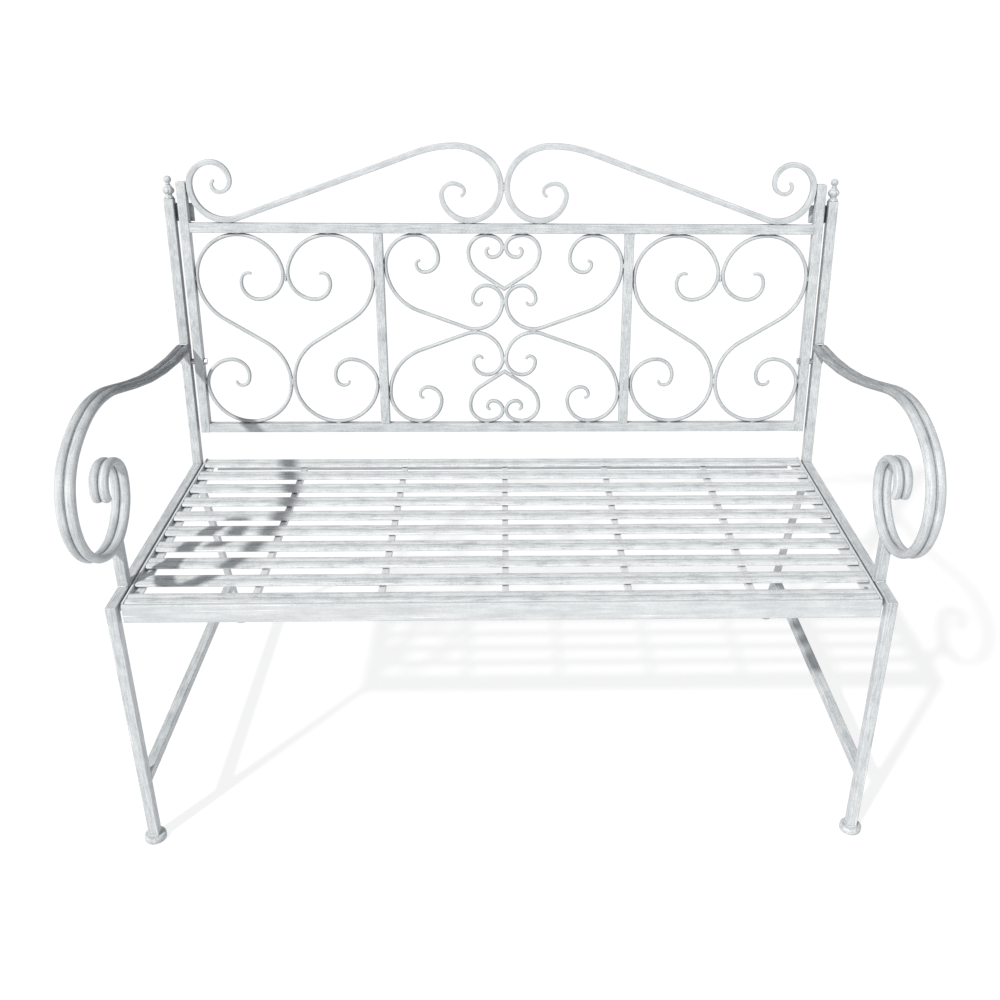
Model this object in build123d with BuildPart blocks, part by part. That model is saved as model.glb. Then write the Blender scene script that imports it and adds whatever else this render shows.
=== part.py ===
from build123d import *
from math import asin, atan2, cos, degrees, hypot, radians, sin, sqrt, tan
import os

# Ornate knock-down steel garden bench: two side frames, a scrolled back panel and a slatted seat.
#
# Frame: +Z up, the front faces -Y, X is symmetric, the origin is on the floor under the middle of the box.
# Sections are drawn in two local frames:
#   side frame   (forward, up)  forward from the rear post's front face at seat height, up from the seat rail
#   back panel   (across, up)   in the leaning plane of the posts, up from the middle of the panel's openings
# A curve is a list of steps: (radius, turn in degrees, positive to the left) or (0, straight length).

os.makedirs("parts", exist_ok=True)

# ---------------------------------------------------------------- driving dimensions, millimetres
SEAT_HEIGHT = 443.0         # top of the seat rail above the floor
OVERALL_WIDTH = 1150.0      # over the outer faces of the posts
RECLINE = 5.5               # lean of the posts and of the back panel, degrees
TUBE = 16.0                 # square tube, outside
WALL = 1.5                  # tube wall
CORNER = 1.4                # rounded long edges of a tube
GAP = 0.15                  # left for the weld between a scroll and what it is welded to
WELD_GAP = 0.5              # left for the weld under an armrest

FOOT_RADIUS = 17.0
REAR_FOOT_RADIUS = 13.5
FOOT_HEIGHT = 10.0
FRONT_LEG_FACE = 485.5      # front face of the front leg
REAR_TUBE = 12.0            # the rear legs are a size smaller
REAR_LEG_TOP = 5.0          # middle of the rear leg where it meets the seat rail
REAR_LEG_SPLAY = 20.7       # degrees
STRETCHER_TOP = -316.0
POST_LENGTH = 475.2         # up the lean, from seat height to the finial
BALL = 6.4                  # ball on top of the finial
BALL_UP = 31.2              # its middle above the post's end

SLAT_RIB = 0.283            # half width of one rolled rib, as a share of the whole width
ARM_RIB = 0.266
ARM_WIDTH = 27.5
ARM_THICK = 12.0
ARM_START = (-20.35, 218.0)  # end of the band at the post
ARM_STEPS = [(1060, 15.5), (0, 76), (278, -15.5), (197, -32), (87.5, -58), (103, -42), (113.5, -48),
             (82.5, -50), (70.5, -40), (40, -50), (55.5, -40), (27.5, -90), (31, -30)]
ARM_FRONT_STEP = 5          # steps up to the foremost point
ARM_BOTTOM_STEP = 7         # steps up to the lowest point
ARM_SUPPORT_FRONT = 427.0

PANEL_MID = 248.0           # middle of the openings, up the lean from seat height
OPENING = 342.0             # clear height of the openings
PANEL_HALF = 552.5          # over the outer faces of the stiles
STILE_TOP = 254.0
MULLION_X = 217.5
ROD = 6.0                   # round bar of the scrolls
CREST_BAR = 10.0            # square bar of the crest
SIDE_BOLT_HEIGHT = -56.0
PLATE_BOLT_HEIGHT = 204.0
PLATE = (45.0, 30.0, 3.0)   # strap behind post and stile: across, up, thick

SLAT_COUNT = 10
SLAT_WIDTH = 31.0
SLAT_THICK = 7.0
SEAT_REAR = -24.0           # rear edge of the rearmost slat
APRON_FACE = 478.0
APRON_THICK = 5.5
APRON_HEIGHT = 30.0
APRON_HALF = 553.9
SLAT_HALF = 551.5
ANGLE_THICK = 3.0           # seat side member
ANGLE_FLANGE = 16.0
BEARERS = [-370.0, -185.0, 0.0, 185.0, 370.0]
BEARER_WIDTH = 10.0
BEARER_DEPTH = 8.0
LUG = (24.0, 3.0)           # seat lug: along the rail, thick
LUG_REACH = 6.0             # past the middle of its bolt
BOLT = 3.0                  # radius
HEAD = 5.5                  # radius
NUT_FLATS = 10.0
NUT_THICK = 5.0
HEAD_RIM = 1.6              # straight rim of the head, and the height of its crown
HEAD_CROWN = 2.4            # how far the crown draws in
CLEAR = 0.25                # bolt hole clearance on the radius
THREAD_CLEAR = 0.05         # the same in a nut

# ---------------------------------------------------------------- worked out from them
lean_sin, lean_cos = sin(radians(RECLINE)), cos(radians(RECLINE))
splay = tan(radians(REAR_LEG_SPLAY))
side_x = (OVERALL_WIDTH - TUBE) / 2
arm_x = side_x + 1.0
foot_top = FOOT_HEIGHT - SEAT_HEIGHT
rear_foot = REAR_LEG_TOP + (foot_top + TUBE) * splay
front_foot = FRONT_LEG_FACE - TUBE / 2
opening_top = OPENING / 2
stile_inner = PANEL_HALF - TUBE
mullion_inner = MULLION_X - TUBE / 2
mullion_outer = MULLION_X + TUBE / 2
slat_pitch = (APRON_FACE - APRON_THICK - GAP - SLAT_WIDTH - SEAT_REAR) / (SLAT_COUNT - 1)
seat_front = APRON_FACE - APRON_THICK - GAP
flange_top = -SLAT_THICK - GAP
web_x = SLAT_HALF + 1.0


def walk(start, heading, steps):
    """Point and heading at the end of each step, beginning with the start."""
    x, y = start
    stations = [(x, y, heading)]
    for radius, amount in steps:
        turn = amount if radius else 0.0
        run = amount if radius == 0 else 2 * radius * sin(radians(abs(turn) / 2))
        chord = radians(heading + turn / 2)
        x, y, heading = x + run * cos(chord), y + run * sin(chord), heading + turn
        stations.append((x, y, heading))
    return stations


def draw(start, heading, steps):
    """Draw the steps end to end in the open BuildLine."""
    stations = walk(start, heading, steps)
    for (x, y, angle), (x_end, y_end, _), (radius, amount) in zip(stations, stations[1:], steps):
        if radius == 0:
            Line((x, y), (x_end, y_end))
        else:
            side = 1 if amount > 0 else -1
            centre = (x - side * radius * sin(radians(angle)), y + side * radius * cos(radians(angle)))
            CenterArc(centre, radius, angle - side * 90, amount)


def tangent_line(centre_a, radius_a, side_a, centre_b, radius_b, side_b):
    """Line touching two circles; side is 1 for a circle on its left and -1 for one on its right."""
    across, up = centre_b[0] - centre_a[0], centre_b[1] - centre_a[1]
    offset = side_b * radius_b - side_a * radius_a
    heading = atan2(up, across) - asin(offset / hypot(across, up))
    normal = (-sin(heading), cos(heading))
    start = (centre_a[0] - side_a * radius_a * normal[0], centre_a[1] - side_a * radius_a * normal[1])
    length = sqrt(across**2 + up**2 - offset**2)
    return start, degrees(heading), length


def joined(start, heading, length, back, ahead):
    """One curve from tip to tip: a straight run with a scroll behind its start and one past its end."""
    x, y, angle = walk(start, heading + 180, back)[-1]
    steps = [(radius, -turn) for radius, turn in reversed(back)] + [(0, length)] + ahead
    return (x, y), angle + 180, steps


arm_stations = walk(ARM_START, 0, ARM_STEPS)
arm_front = arm_stations[ARM_FRONT_STEP][0] + ARM_THICK / 2
arm_bottom = arm_stations[ARM_BOTTOM_STEP]
post_y = (arm_front + rear_foot - REAR_FOOT_RADIUS) / 2

# ---------------------------------------------------------------- local frames
panel_point = (0, post_y + PANEL_MID * lean_sin + TUBE / 2 * lean_cos,
               SEAT_HEIGHT + PANEL_MID * lean_cos - TUBE / 2 * lean_sin)
PANEL = Plane(origin=panel_point, x_dir=(1, 0, 0), z_dir=(0, -lean_cos, lean_sin))
SEAT = Plane(origin=(0, post_y, SEAT_HEIGHT), x_dir=(1, 0, 0), z_dir=(0, 0, 1))


def side_plane(x):
    """Drawing plane of a side frame: local x is forward, local y is up."""
    return Plane(origin=(x, post_y, SEAT_HEIGHT), x_dir=(0, -1, 0), z_dir=(-1, 0, 0))


def save(part, label):
    """Label a finished piece and write it."""
    part.label = label
    export_step(part, f"parts/{label}.step")


def both_sides(part, label):
    """Write a left piece and its mirror image."""
    save(part, f"left_{label}")
    save(mirror(part, about=Plane.YZ), f"right_{label}")


# ---------------------------------------------------------------- tubes
def tube(plane, corners, cap=0.0, holes=(), size=TUBE):
    """Square tube lying in a plane: corners a, b at one end and c, d at the other, with a-d and b-c long."""
    a, b, c, d = [Vector(*corner) for corner in corners]
    share = WALL / size
    inner = [a + (b - a) * share, b + (a - b) * share, c + (d - c) * share, d + (c - d) * share]
    if cap:
        along = (c - b).normalized() * cap
        inner[2], inner[3] = inner[2] - along, inner[3] - along
    with BuildPart() as bar:
        with BuildSketch(plane):
            with BuildLine():
                Polyline(a, b, c, d, close=True)
            make_face()
        extrude(amount=size / 2, both=True)
        fillet(bar.edges().sort_by(SortBy.LENGTH)[-4:], CORNER)
        with BuildSketch(plane):
            with BuildLine():
                Polyline(*inner, close=True)
            make_face()
        extrude(amount=size / 2 - WALL, both=True, mode=Mode.SUBTRACT)
        for spot in holes:
            with Locations(spot):
                Cylinder(BOLT + CLEAR, 2 * TUBE, mode=Mode.SUBTRACT)
    return bar.part


def lean_point(distance, depth=0.0):
    """Side frame point: a distance up the lean from seat height and a depth behind the post's front face."""
    return (-distance * lean_sin - depth * lean_cos, distance * lean_cos - depth * lean_sin)


def rear_leg_middle(up):
    """How far forward the middle of the rear leg is at a height."""
    return REAR_LEG_TOP + (up + TUBE) * splay


def panel_hole(x, up, along_x):
    """Place of a bolt hole in the back panel's frame: right across it, or through the rear wall only."""
    if along_x:
        return PANEL * Location((x, up, 0), (0, 90, 0))
    return PANEL * Location((x, up, -TUBE))


post_foot = (-TUBE / lean_cos + TUBE * lean_sin / lean_cos, -TUBE)
half_leg = REAR_TUBE / 2 / cos(radians(REAR_LEG_SPLAY))
left = side_plane(-side_x)
frame_holes = [panel_hole(-side_x, SIDE_BOLT_HEIGHT, True), panel_hole(-side_x, PLATE_BOLT_HEIGHT, False)]
leg_back = FRONT_LEG_FACE - TUBE
stretcher_bottom = STRETCHER_TOP - TUBE

both_sides(tube(left, [(0, 0), post_foot, lean_point(POST_LENGTH, TUBE), lean_point(POST_LENGTH)],
                holes=frame_holes), "rear_post")
both_sides(tube(left, [(0, 0), post_foot, (leg_back, -TUBE), (FRONT_LEG_FACE, 0)]), "seat_rail")
both_sides(tube(left, [(FRONT_LEG_FACE, 0), (leg_back, -TUBE), (leg_back, foot_top),
                       (FRONT_LEG_FACE, foot_top)]), "front_leg")
both_sides(tube(left, [(REAR_LEG_TOP + half_leg, -TUBE), (REAR_LEG_TOP - half_leg, -TUBE),
                       (rear_foot - half_leg, foot_top), (rear_foot + half_leg, foot_top)],
                size=REAR_TUBE), "rear_leg")
both_sides(tube(left, [(rear_leg_middle(STRETCHER_TOP) + half_leg, STRETCHER_TOP),
                       (rear_leg_middle(stretcher_bottom) + half_leg, stretcher_bottom),
                       (leg_back, stretcher_bottom), (leg_back, STRETCHER_TOP)]), "side_stretcher")


def arm_underside(forward):
    """Height of the band's underside near its lowest point."""
    radius = ARM_STEPS[ARM_BOTTOM_STEP][0]
    centre = arm_bottom[1] + radius
    return centre - sqrt((radius + ARM_THICK / 2)**2 - (forward - arm_bottom[0])**2) - WELD_GAP


support_rear = ARM_SUPPORT_FRONT - TUBE
both_sides(tube(left, [(support_rear, 0), (ARM_SUPPORT_FRONT, 0),
                       (ARM_SUPPORT_FRONT, arm_underside(ARM_SUPPORT_FRONT)),
                       (support_rear, arm_underside(support_rear))]), "arm_support")


# ---------------------------------------------------------------- feet and finials
def foot(forward, radius, label):
    """Round disc foot with a softened rim."""
    with BuildPart() as disc:
        with BuildSketch(Plane(origin=(-side_x, post_y - forward, 0))):
            Circle(radius)
        extrude(amount=FOOT_HEIGHT)
        fillet(disc.edges().filter_by(GeomType.CIRCLE).sort_by(Axis.Z)[-1], 3.5)
        fillet(disc.edges().filter_by(GeomType.CIRCLE).sort_by(Axis.Z)[0], 1.0)
    both_sides(disc.part, label)


foot(front_foot, FOOT_RADIUS, "front_foot")
foot(rear_foot, REAR_FOOT_RADIUS, "rear_foot")

finial_base = lean_point(POST_LENGTH, TUBE / 2)
finial_plane = Plane(origin=side_plane(-side_x).from_local_coords(finial_base), x_dir=(1, 0, 0),
                     z_dir=PANEL.y_dir)
with BuildPart() as finial:
    with BuildSketch(Plane(origin=finial_plane.origin, x_dir=(1, 0, 0), z_dir=PANEL.z_dir)):
        with BuildLine():
            Polyline((0, 0), (8.2, 0), (8.2, 2.0))
            ThreePointArc((8.2, 2.0), (7.4, 3.8), (5.6, 4.6))
            Line((5.6, 4.6), (5.0, 6.4))
            ThreePointArc((5.0, 6.4), (10.0, 14.0), (3.6, 23.0))
            Line((3.6, 23.0), (3.2, BALL_UP - BALL * sin(radians(60))))
            CenterArc((0, BALL_UP), BALL, -60, 150)
            Line((0, BALL_UP + BALL), (0, 0))
        make_face()
    revolve(axis=Axis(finial_plane.origin, finial_plane.z_dir))
both_sides(finial.part, "finial")


# ---------------------------------------------------------------- bars bent to a curve
def double_barrel(width, thickness, rib_share):
    """Section of a flat bar rolled to two round ribs, in the open BuildSketch."""
    rib = width * rib_share
    with Locations((rib - width / 2, 0), (width / 2 - rib, 0)):
        Ellipse(rib, thickness / 2)


def swept(plane, curve, section):
    """Bar with a section drawn by a function, swept along a curve in a plane."""
    start, heading, steps = curve
    with BuildPart() as bar:
        with BuildLine(plane) as path:
            draw(start, heading, steps)
        wire = path.wire()
        with BuildSketch(Plane(origin=wire @ 0, x_dir=plane.z_dir, z_dir=wire % 0)):
            section()
        sweep(path=wire)
    return bar.part


both_sides(swept(side_plane(-arm_x), (ARM_START, 0, ARM_STEPS),
                 lambda: double_barrel(ARM_WIDTH, ARM_THICK, ARM_RIB)), "armrest")


def flipped(curve, across=0.0, mirror_x=False, mirror_y=False):
    """Curve shifted across and mirrored about the panel's own axes."""
    (x, y), heading, steps = curve
    if mirror_x:
        x, heading, steps = -x, 180 - heading, [(r, -a if r else a) for r, a in steps]
    if mirror_y:
        y, heading, steps = -y, -heading, [(r, -a if r else a) for r, a in steps]
    return (x + across, y), heading, steps


# ---------------------------------------------------------------- back panel frame
def panel_tube(x_low, x_high, up_low, up_high, cap=0.0, holes=()):
    """Tube of the back panel: upright when it is taller than it is wide, else level."""
    if up_high - up_low > x_high - x_low:
        corners = [(x_low, up_low), (x_high, up_low), (x_high, up_high), (x_low, up_high)]
    else:
        corners = [(x_low, up_high), (x_low, up_low), (x_high, up_low), (x_high, up_high)]
    return tube(PANEL, corners, cap, holes)


rail_bottom = -opening_top - TUBE
stile_middle = PANEL_HALF - TUBE / 2
stile_holes = [panel_hole(-stile_middle, SIDE_BOLT_HEIGHT, True),
               panel_hole(-stile_middle, PLATE_BOLT_HEIGHT, False)]
both_sides(panel_tube(-PANEL_HALF, -stile_inner, rail_bottom, STILE_TOP, WALL, stile_holes), "stile")
both_sides(panel_tube(-mullion_outer, -mullion_inner, -opening_top, opening_top), "mullion")
save(panel_tube(-stile_inner, stile_inner, opening_top, opening_top + TUBE), "back_top_rail")
save(panel_tube(-stile_inner, stile_inner, rail_bottom, -opening_top), "back_bottom_rail")

# ---------------------------------------------------------------- scrolls of the back panel
rod_clear = ROD / 2 + GAP
bay_middle = (stile_inner + mullion_outer) / 2
bay_half = (stile_inner - mullion_outer) / 2


def s_scroll():
    """S between the bay's middle line and one side, from its lower curl to its upper one."""
    ring = (bay_half - 2 * rod_clear) / 2
    inner, outer = rod_clear, bay_half - rod_clear
    up = opening_top - rod_clear - ring
    shoulder = 85.0
    start, heading, length = tangent_line((inner + shoulder, -up), shoulder, -1,
                                          (outer - shoulder, up), shoulder, 1)
    lower = [(shoulder, 90 - heading), (ring, 170), (46, 100), (29, 112), (13, 95), (7, 60)]
    upper = [(shoulder, 90 - heading), (ring, 165), (45, 105), (28, 112), (12, 90)]
    return joined(start, heading, length, lower, upper)


def c_scroll():
    """Upper left C of the middle opening, from its outer curl to its inner one."""
    sweep_in, small = 85.0, 49.0
    mullion_touch = -mullion_inner + rod_clear
    shoulder_up = 115.5
    outer_ring = opening_top - rod_clear - shoulder_up
    start, heading, length = tangent_line((mullion_touch + sweep_in, shoulder_up), sweep_in, 1,
                                          (-rod_clear - small, rod_clear + small), small, 1)
    outer = [(sweep_in, -(90 + heading)), (outer_ring, -90), (39.5, -90), (24.5, -90), (14, -90), (6, -90)]
    inner = [(small, 90 - heading), (28.5, 90), (24, 90), (10.5, 90), (5.5, 80)]
    return joined(start, heading, length, outer, inner)


def rod_section():
    """Round bar of the scrolls."""
    Circle(ROD / 2)


for side, sign in (("left", -1), ("right", 1)):
    for name, outward in (("outer", sign), ("inner", -sign)):
        curve = flipped(s_scroll(), across=sign * bay_middle, mirror_x=outward < 0)
        save(swept(PANEL, curve, rod_section), f"{side}_{name}_s_scroll")
    for level, down in (("upper", False), ("lower", True)):
        curve = flipped(c_scroll(), mirror_x=sign > 0, mirror_y=down)
        save(swept(PANEL, curve, rod_section), f"{side}_{level}_c_scroll")


def heart(level, down):
    """Heart under a rail: two mirrored halves bent from one bar and mitred at the point."""
    lobe = (-32.0, opening_top - rod_clear)
    shoulder = walk(lobe, 180, [(30, 90), (42, 57)])[-1]
    slope = radians(-33)
    run = -shoulder[0] / cos(slope) + ROD
    tip_x, tip_y, angle = walk(lobe, 0, [(40, -30), (17.5, -150), (10.5, -90), (5.5, -80)])[-1]
    steps = [(5.5, 80), (10.5, 90), (17.5, 150), (40, 30), (30, 90), (42, 57), (0, run)]
    lobe_curve = ((tip_x, tip_y), angle + 180, steps)
    with BuildPart() as bar:
        add(swept(PANEL, flipped(lobe_curve, mirror_y=down), rod_section))
        split(bisect_by=Plane.YZ, keep=Keep.BOTTOM)
        mirror(about=Plane.YZ)
    save(bar.part, f"{level}_heart")


heart("upper", False)
heart("lower", True)


def crest():
    """Left half of the crest: a low spiral on the rail, a long rise and a high scroll at the middle."""
    half = CREST_BAR / 2
    end_ring, rise = 57.0, 200.0
    rail_touch = opening_top + TUBE + half + GAP
    end_centre = (-stile_inner + half + GAP + end_ring, rail_touch + end_ring)
    top = (-82.0, 315.4)
    start, heading, length = tangent_line(end_centre, end_ring, 1, (top[0], top[1] - rise), rise, -1)
    end = [(end_ring, -(90 + heading)), (38, -90), (30, -90), (19, -90), (12, -90), (7.5, -60)]
    high = walk(top, 0, [(85, -40), (62, -50)])[-1]
    low_ring = high[1] - rail_touch
    middle = [(rise, -heading), (85, -40), (62, -50), (low_ring, -90), (46, -82), (19.5, -98), (26, -40),
              (8.5, -120)]
    return joined(start, heading, length, end, middle)


both_sides(swept(PANEL, crest(), lambda: Rectangle(CREST_BAR, CREST_BAR)), "crest_scroll")


# ---------------------------------------------------------------- seat panel
def seat_box(x_low, x_high, rear, front, low, high):
    """Block between limits across, forward and up, in the open BuildPart."""
    middle = ((x_low + x_high) / 2, -(rear + front) / 2, (low + high) / 2)
    with Locations(SEAT * Location(middle)):
        Box(x_high - x_low, front - rear, high - low)


for number in range(SLAT_COUNT):
    middle = SEAT_REAR + number * slat_pitch + SLAT_WIDTH / 2
    place = Plane(origin=(-SLAT_HALF, post_y - middle, SEAT_HEIGHT - SLAT_THICK / 2), x_dir=(0, 1, 0),
                  z_dir=(1, 0, 0))
    with BuildPart() as slat:
        with BuildSketch(place):
            double_barrel(SLAT_WIDTH, SLAT_THICK, SLAT_RIB)
        extrude(amount=2 * SLAT_HALF)
    save(slat.part, f"slat_{number + 1}")

with BuildPart() as apron:
    seat_box(-APRON_HALF, APRON_HALF, APRON_FACE - APRON_THICK, APRON_FACE, -APRON_HEIGHT, 0)
    fillet(apron.edges().filter_by(Axis.X), 1.2)
save(apron.part, "front_apron")

flange_bottom = flange_top - ANGLE_THICK
with BuildPart() as rear_bar:
    seat_box(-web_x + ANGLE_FLANGE, web_x - ANGLE_FLANGE, SEAT_REAR, SEAT_REAR + ANGLE_THICK,
             flange_top - TUBE, flange_top)
save(rear_bar.part, "seat_rear_bar")

lug_spots = [SEAT_REAR + SLAT_WIDTH + (slat_pitch - SLAT_WIDTH) / 2 + step * slat_pitch
             for step in (0, SLAT_COUNT - 2)]
bolt_x = web_x - ANGLE_FLANGE / 2


def seat_spot(x, forward, up):
    """World place of a seat point, axis up."""
    return SEAT * Location((x, -forward, up))


with BuildPart() as angle:
    seat_box(-web_x - ANGLE_THICK, -web_x, SEAT_REAR, seat_front, flange_bottom, 0)
    seat_box(-web_x, -web_x + ANGLE_FLANGE, SEAT_REAR, seat_front, flange_bottom, flange_top)
    for spot in lug_spots:
        with Locations(seat_spot(-bolt_x, spot, flange_bottom)):
            Cylinder(BOLT + CLEAR, TUBE, mode=Mode.SUBTRACT)
both_sides(angle.part, "seat_angle")

with BuildPart() as bearers:
    for x in BEARERS:
        seat_box(x - BEARER_WIDTH / 2, x + BEARER_WIDTH / 2, SEAT_REAR + ANGLE_THICK, seat_front,
                 flange_top - BEARER_DEPTH, flange_top)
save(bearers.part, "seat_bearers")


# ---------------------------------------------------------------- fixings
def domed_bolt(length):
    """Bolt in the open BuildPart: shank up from the origin, low round head below it."""
    Cylinder(BOLT, length, align=(Align.CENTER, Align.CENTER, Align.MIN))
    Cylinder(HEAD, HEAD_RIM, align=(Align.CENTER, Align.CENTER, Align.MAX))
    with Locations((0, 0, -HEAD_RIM)):
        Cone(HEAD - HEAD_CROWN, HEAD, HEAD_RIM, align=(Align.CENTER, Align.CENTER, Align.MAX))


def group(label, places, length):
    """Same bolt at each place, kept as separate solids in one node."""
    with BuildPart() as bolt:
        domed_bolt(length)
    save(Compound(children=[bolt.part.moved(place) for place in places]), label)


seat_places = [(sign * bolt_x, spot) for sign in (-1, 1) for spot in lug_spots]
lug_top = flange_bottom - GAP
with BuildPart() as lugs:
    for x, spot in seat_places:
        sign = 1 if x > 0 else -1
        inner, outer = sorted((x - sign * LUG_REACH, sign * (side_x - TUBE / 2)))
        seat_box(inner, outer, spot - LUG[0] / 2, spot + LUG[0] / 2, lug_top - LUG[1], lug_top)
        with Locations(seat_spot(x, spot, lug_top)):
            Cylinder(BOLT + CLEAR, TUBE, mode=Mode.SUBTRACT)
save(lugs.part, "seat_lugs")
lug_bottom = lug_top - LUG[1]
bolt_places = [seat_spot(x, spot, lug_bottom) for x, spot in seat_places]
group("seat_bolts", bolt_places, flange_top - lug_bottom)

with BuildPart() as plates:
    for sign in (-1, 1):
        with Locations(PANEL * Location((sign * (side_x + TUBE / 2 - PLATE[0] / 2), PLATE_BOLT_HEIGHT,
                                         -TUBE / 2 - PLATE[2] / 2))):
            Box(*PLATE)
        for x in (side_x, stile_middle):
            with Locations(panel_hole(sign * x, PLATE_BOLT_HEIGHT, False)):
                Cylinder(BOLT + CLEAR, 3 * TUBE, mode=Mode.SUBTRACT)
save(plates.part, "back_straps")
group("strap_bolts", [PANEL * Location((sign * x, PLATE_BOLT_HEIGHT, -TUBE / 2 - PLATE[2]))
                      for sign in (-1, 1) for x in (side_x, stile_middle)], TUBE / 2 + PLATE[2])



def side_bolt_place(across, turn):
    """Place on the line of a side bolt, turned to point across the panel."""
    return PANEL * Location((across, SIDE_BOLT_HEIGHT, 0), (0, turn, 0))


bolt_run = side_x + TUBE / 2 - stile_inner + NUT_THICK
group("side_bolts", [side_bolt_place(sign * (side_x + TUBE / 2), -sign * 90) for sign in (-1, 1)], bolt_run)

with BuildPart() as nuts:
    for sign in (-1, 1):
        with BuildSketch(Plane(side_bolt_place(sign * stile_inner, -sign * 90))):
            RegularPolygon(NUT_FLATS / 2, 6, major_radius=False)
            Circle(BOLT + THREAD_CLEAR, mode=Mode.SUBTRACT)
        extrude(amount=NUT_THICK)
save(nuts.part, "side_nuts")

with BuildPart() as spacers:
    for sign in (-1, 1):
        with BuildSketch(Plane(side_bolt_place(sign * PANEL_HALF, sign * 90))):
            Circle(NUT_FLATS / 2)
            Circle(BOLT + CLEAR, mode=Mode.SUBTRACT)
        extrude(amount=side_x - TUBE / 2 - PANEL_HALF)
save(spacers.part, "panel_spacers")
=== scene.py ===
import bmesh
import bpy
import math
from math import cos, pi, radians, sin
from mathutils import Matrix, Vector, noise


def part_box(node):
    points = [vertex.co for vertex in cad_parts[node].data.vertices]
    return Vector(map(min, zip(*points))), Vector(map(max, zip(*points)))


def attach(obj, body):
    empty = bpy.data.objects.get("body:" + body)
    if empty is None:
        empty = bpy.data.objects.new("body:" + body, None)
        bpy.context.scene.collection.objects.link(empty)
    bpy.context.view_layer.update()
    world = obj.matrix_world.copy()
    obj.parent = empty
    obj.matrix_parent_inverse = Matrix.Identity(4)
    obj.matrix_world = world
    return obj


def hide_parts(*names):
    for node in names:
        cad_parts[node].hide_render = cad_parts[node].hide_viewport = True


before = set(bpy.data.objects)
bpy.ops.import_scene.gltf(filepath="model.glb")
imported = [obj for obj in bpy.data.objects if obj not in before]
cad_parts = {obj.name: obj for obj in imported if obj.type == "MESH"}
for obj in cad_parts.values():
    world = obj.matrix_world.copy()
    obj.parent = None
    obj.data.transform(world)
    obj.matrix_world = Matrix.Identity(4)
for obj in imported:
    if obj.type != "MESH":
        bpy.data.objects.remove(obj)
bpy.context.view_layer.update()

# ---------------------------------------------------------------- sizes shared with the CAD, millimetres
MM = 0.001
APRON_FACE = 478.0
APRON_THICK = 5.5
SEAT_HEIGHT = 443.0
RECLINE = radians(5.5)
TUBE = 16.0
GAP = 0.15
ROD = 6.0
PAINT_COAT = 0.3            # on the rods
CREST_BAR = 10.0
OPENING_TOP = 171.0
PANEL_MID = 248.0           # middle of the openings, along the lean from seat height
STILE_INNER = 536.5
STILE_TOP = 254.0           # along the lean, from the middle of the openings
MULLION_INNER = 209.5
MULLION_OUTER = 225.5
SIDE_X = 567.0
ARM_X = 568.0
ARM_WIDTH = 27.5
ARM_THICK = 12.0
ARM_START = (-20.35, 218.0)
ARM_STEPS = [(1060, 15.5), (0, 76), (278, -15.5), (197, -32), (87.5, -58), (103, -42), (113.5, -48),
             (82.5, -50), (70.5, -40), (40, -50), (55.5, -40), (27.5, -90), (31, -30)]
ARM_SUPPORT_FRONT = 427.0
FRONT_LEG_FACE = 485.5
REAR_TUBE = 12.0
REAR_LEG_TOP = 5.0
REAR_LEG_SPLAY = radians(20.7)
STRETCHER_TOP = -316.0
FOOT_TOP = 10.0 - SEAT_HEIGHT
SLAT_COUNT = 10
SLAT_WIDTH = 31.0
SLAT_THICK = 7.0
SLAT_HALF = 551.5
SEAT_REAR = -24.0
POST_LENGTH = 475.2
SLAT_RIB = 0.283            # half width of one rolled rib, as a share of the whole width
ARM_RIB = 0.266

post_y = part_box("front_apron")[0].y / MM + APRON_FACE
lean_sin, lean_cos = sin(RECLINE), cos(RECLINE)
rod_clear = ROD / 2 + GAP


def panel(across, up, out=0.0):
    """World place of a point of the back panel."""
    climb = PANEL_MID + up
    back = climb * lean_sin + (TUBE / 2 - out) * lean_cos
    rise = climb * lean_cos - (TUBE / 2 - out) * lean_sin
    return Vector((across, post_y + back, SEAT_HEIGHT + rise)) * MM


def left_side(forward, up, across=0.0, middle=-ARM_X):
    """World place of a point of the left side frame."""
    return Vector((middle + across, post_y - forward, SEAT_HEIGHT + up)) * MM


# ---------------------------------------------------------------- curves
FINE_TURN = 4.0             # degrees between stations on an arc
FINE_RUN = 16.0             # millimetres between stations on a straight


def trace(curve):
    """Stations (x, y, heading, distance, stretch) along (radius, turn) arcs and (0, length) straights."""
    (x, y), heading, steps = curve
    distance = 0.0
    stations = [(x, y, heading, distance, 1.0)]
    for radius, amount in steps:
        count = max(1, math.ceil(abs(amount) / (FINE_TURN if radius else FINE_RUN)))
        turn = amount / count if radius else 0.0
        run = 2 * radius * sin(radians(abs(turn) / 2)) if radius else amount / count
        length = radius * radians(abs(turn)) if radius else run
        for _ in range(count):
            chord = radians(heading + turn / 2)
            x, y = x + run * cos(chord), y + run * sin(chord)
            heading, distance = heading + turn, distance + length
            stations.append((x, y, heading, distance, 1.0))
    return stations


def tangent_line(centre_a, radius_a, side_a, centre_b, radius_b, side_b):
    """Line touching two circles; side is 1 for a circle on its left and -1 for one on its right."""
    across, up = centre_b[0] - centre_a[0], centre_b[1] - centre_a[1]
    offset = side_b * radius_b - side_a * radius_a
    heading = math.atan2(up, across) - math.asin(offset / math.hypot(across, up))
    start = (centre_a[0] + side_a * radius_a * sin(heading), centre_a[1] - side_a * radius_a * cos(heading))
    return start, math.degrees(heading), math.sqrt(across**2 + up**2 - offset**2)


def joined(start, heading, length, back, ahead):
    """One curve from tip to tip: a straight run with a scroll behind its start and one past its end."""
    x, y, angle, _, _ = trace((start, heading + 180, back))[-1]
    steps = [(radius, -turn) for radius, turn in reversed(back)] + [(0, length)] + ahead
    return (x, y), angle + 180, steps


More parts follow.
